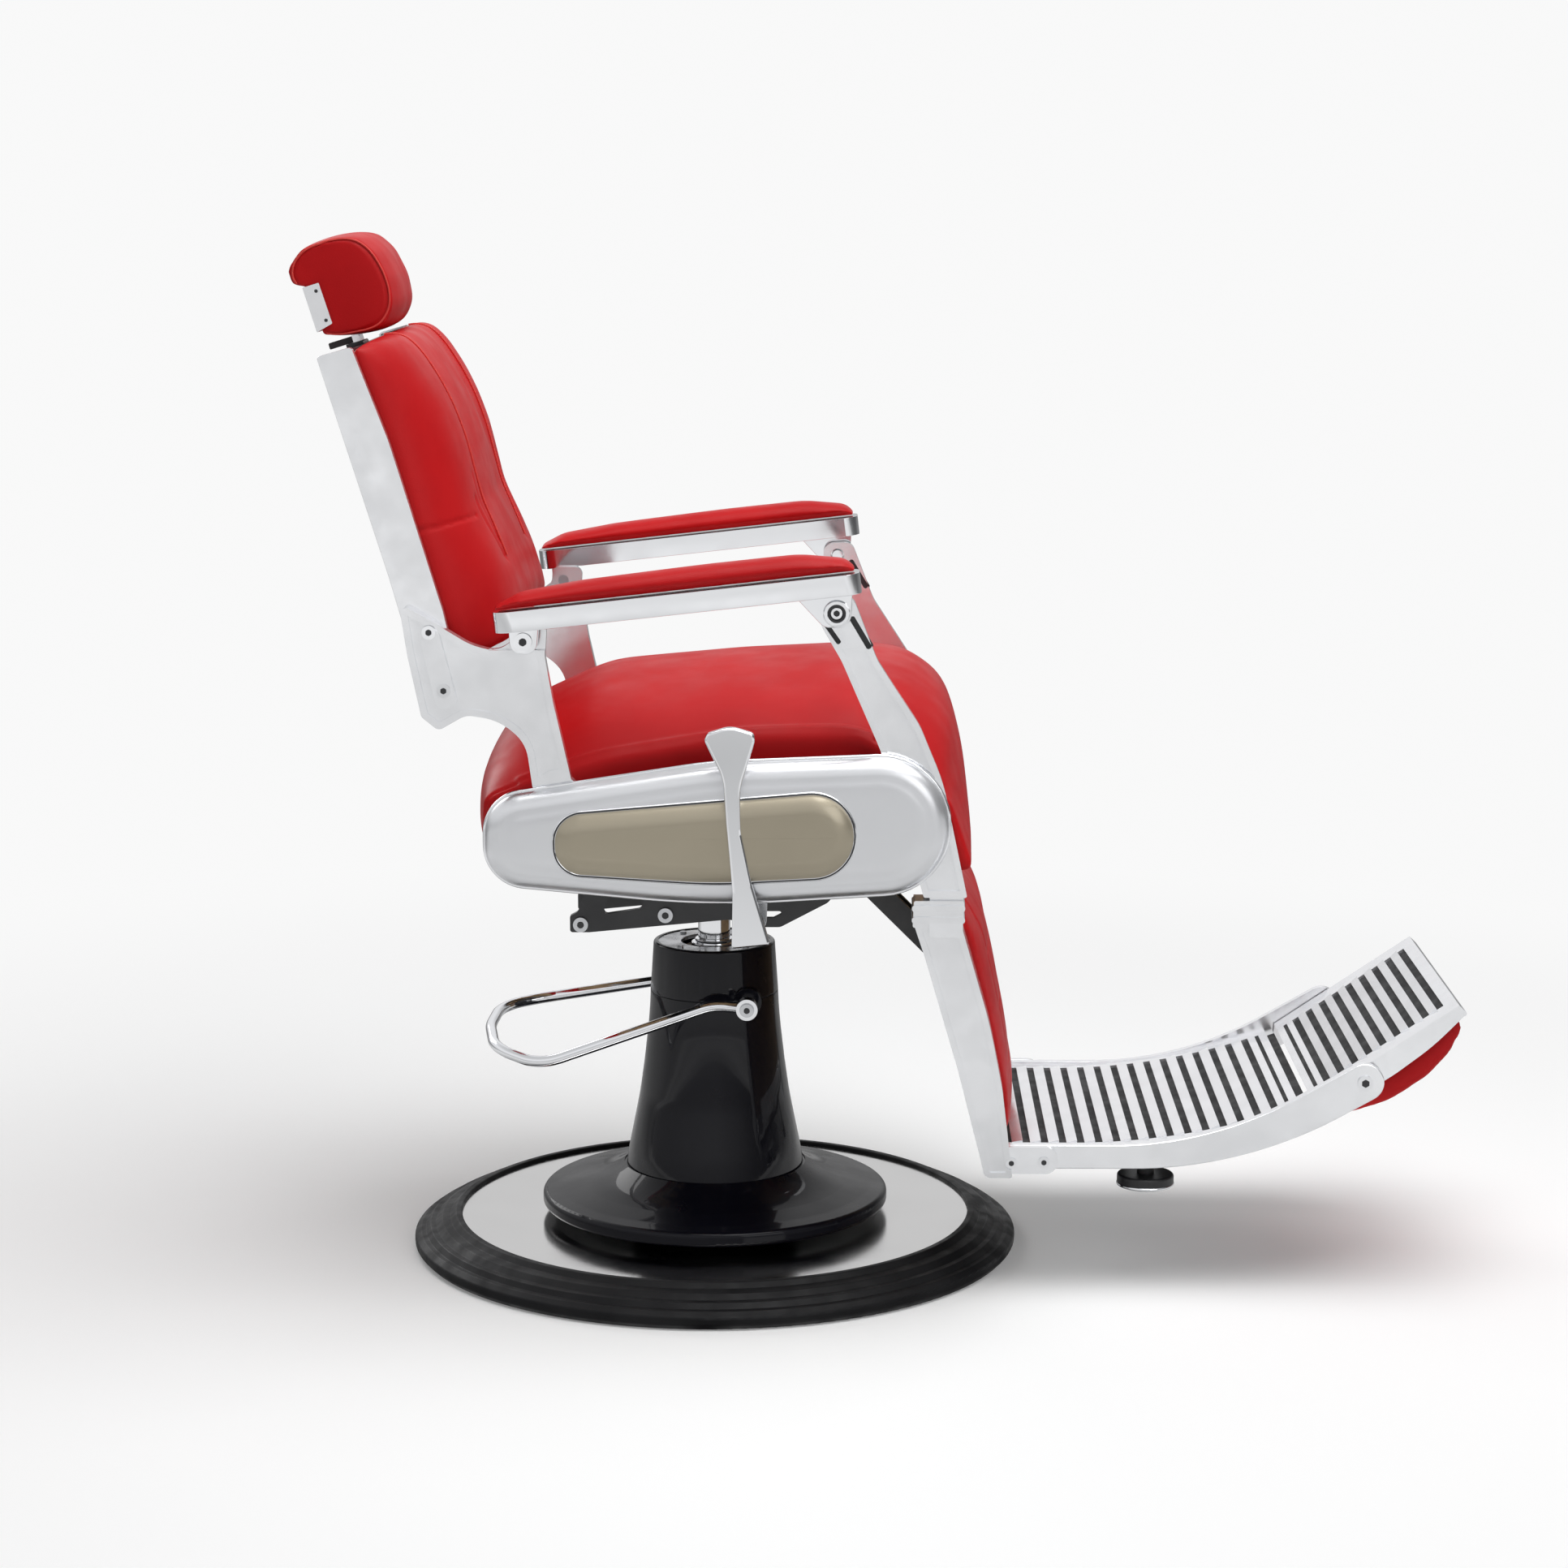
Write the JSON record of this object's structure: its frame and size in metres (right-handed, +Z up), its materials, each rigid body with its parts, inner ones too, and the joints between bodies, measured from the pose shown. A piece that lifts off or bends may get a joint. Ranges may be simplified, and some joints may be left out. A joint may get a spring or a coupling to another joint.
{
  "type": "barber chair",
  "caption": "Hydraulic barber chair with a padded seat and reclining back, a sliding headrest, pivoting armrests, a calf rest, a flip-over footstep and a pumped round base.",
  "frame": {"origin": "centre of the base's underside, on the floor and on the swivel axis", "axes": "+X to the front, towards the footrest; +Y to the sitter's left, away from the recline lever; +Z up"},
  "size_m": [1.2288, 0.66, 1.1059],
  "materials": {
    "black_cast_iron": "satin",
    "black_rubber": "matte",
    "polished_disc": "polished",
    "black_enamel": "gloss",
    "grey_ring": "satin",
    "chrome": "polished",
    "steel": "satin",
    "black_steel": "satin",
    "polished_casting": "polished",
    "plywood": "matte",
    "red_upholstery": "satin",
    "champagne_panel": "satin",
    "black_plastic": "satin"
  },
  "bodies": {
    "base": {"base_plate": "black_cast_iron", "base_bolts": "steel", "rubber_ring": "black_rubber", "mirror_disc": "polished_disc", "column_skirt": "black_enamel", "column_housing": "black_enamel", "column_head": "black_enamel", "head_cover": "grey_ring", "pump_cylinder": "steel", "gland_nut": "chrome", "pump_block": "steel"},
    "plunger": {"pump_plunger": "steel"},
    "lift": {"ram": "chrome", "swivel_bearing": "steel"},
    "pedal": {"pedal_shaft": "steel", "pedal_loop": "chrome", "pedal_screws": "steel"},
    "seat": {"seat_mount": "black_steel", "cradle_bolts": "steel", "cross_channels": "black_steel", "side_plates": "black_steel", "pivot_pins": "steel", "seat_pan": "plywood", "seat_cushion": "red_upholstery", "seat_aprons": "red_upholstery", "shell_standoffs": "steel", "shell_inlays": "champagne_panel", "side_shells": "polished_casting", "lock_cylinder": "black_steel"},
    "lever": {"recline_lever": "chrome", "lever_shaft": "steel"},
    "lock": {"lock_rod": "chrome"},
    "back": {"back_crossbars": "black_steel", "back_panel": "red_upholstery", "back_cushion": "red_upholstery", "back_fasteners": "steel", "back_rails": "chrome", "back_brackets": "polished_casting"},
    "headrest": {"headrest_post": "chrome", "headrest_pad": "red_upholstery"},
    "catch": {"headrest_catch": "black_plastic"},
    "arm_right": {"arm_channel_right": "polished_casting", "arm_pad_right": "red_upholstery"},
    "arm_left": {"arm_channel_left": "polished_casting", "arm_pad_left": "red_upholstery"},
    "leg": {"leg_struts": "polished_casting", "leg_bars": "polished_casting", "leg_crank": "black_steel", "calf_board": "plywood", "calf_pad": "red_upholstery", "footrest_rails": "polished_casting", "footrest_tread": "polished_casting", "tread_rubber": "black_rubber", "foot_bumpers": "black_rubber", "leg_screws": "steel"},
    "flip": {"flip_frame": "polished_casting", "flip_rubber": "black_rubber", "flip_pad": "red_upholstery"}
  },
  "joints": [
    {"name": "lift", "type": "slide", "parent": "base", "child": "lift", "axis": [0, 0, 1], "range_m": [0, 0.18]},
    {"name": "swivel", "type": "hinge", "parent": "lift", "child": "seat", "pos_m": [0, 0, 0.371], "axis": [0, 0, 1], "continuous": true},
    {"name": "pump_pedal", "type": "hinge", "parent": "base", "child": "pedal", "pos_m": [0.038, 0, 0.2815], "axis": [0, -1, 0], "range_deg": [0, 15], "stiffness_Nm_per_rad": 10, "springref_deg": -22.92},
    {"name": "pump_plunger", "type": "slide", "parent": "base", "child": "plunger", "axis": [0, 0, -1], "range_m": [0, 0.0065]},
    {"name": "recline_lever", "type": "hinge", "parent": "seat", "child": "lever", "pos_m": [0.046, -0.25, 0.412], "axis": [0, -1, 0], "range_deg": [0, 12], "stiffness_Nm_per_rad": 4, "springref_deg": -20.05},
    {"name": "recline", "type": "hinge", "parent": "seat", "child": "back", "pos_m": [-0.147, 0, 0.542], "axis": [0, -1, 0], "range_deg": [0, 35]},
    {"name": "leg_lift", "type": "hinge", "parent": "seat", "child": "leg", "pos_m": [0.197, 0, 0.562], "axis": [0, -1, 0], "range_deg": [0, 34.2]},
    {"name": "arm_right", "type": "hinge", "parent": "back", "child": "arm_right", "pos_m": [-0.18, -0.26, 0.701], "axis": [0, -1, 0], "range_deg": [-38.3, 0]},
    {"name": "arm_left", "type": "hinge", "parent": "back", "child": "arm_left", "pos_m": [-0.18, 0.26, 0.701], "axis": [0, -1, 0], "range_deg": [-38.3, 0]},
    {"name": "lock_rod", "type": "slide", "parent": "seat", "child": "lock", "axis": [1, 0, 0], "range_m": [0, 0.0885]},
    {"name": "flip_step", "type": "hinge", "parent": "leg", "child": "flip", "pos_m": [0.6855, 0, 0.2256], "axis": [0, -1, 0], "range_deg": [0, 156]},
    {"name": "headrest_height", "type": "slide", "parent": "back", "child": "headrest", "axis": [-0.2957, 0, 0.9553], "range_m": [0, 0.1]},
    {"name": "headrest_catch", "type": "hinge", "parent": "back", "child": "catch", "pos_m": [-0.38365, 0, 0.98623], "axis": [0, 1, 0], "range_deg": [0, 10], "stiffness_Nm_per_rad": 0.05, "springref_deg": -17.19}
  ],
  "couplings": [
    {"joint": "leg_lift", "follows": "recline", "ratio": 0.97449},
    {"joint": "arm_right", "follows": "recline", "ratio": -1.0901},
    {"joint": "arm_left", "follows": "recline", "ratio": -1.0901},
    {"joint": "lock_rod", "follows": "recline", "m_per_rad": 0.14402},
    {"joint": "pump_plunger", "follows": "pump_pedal", "m_per_rad": 0.0235}
  ]
}
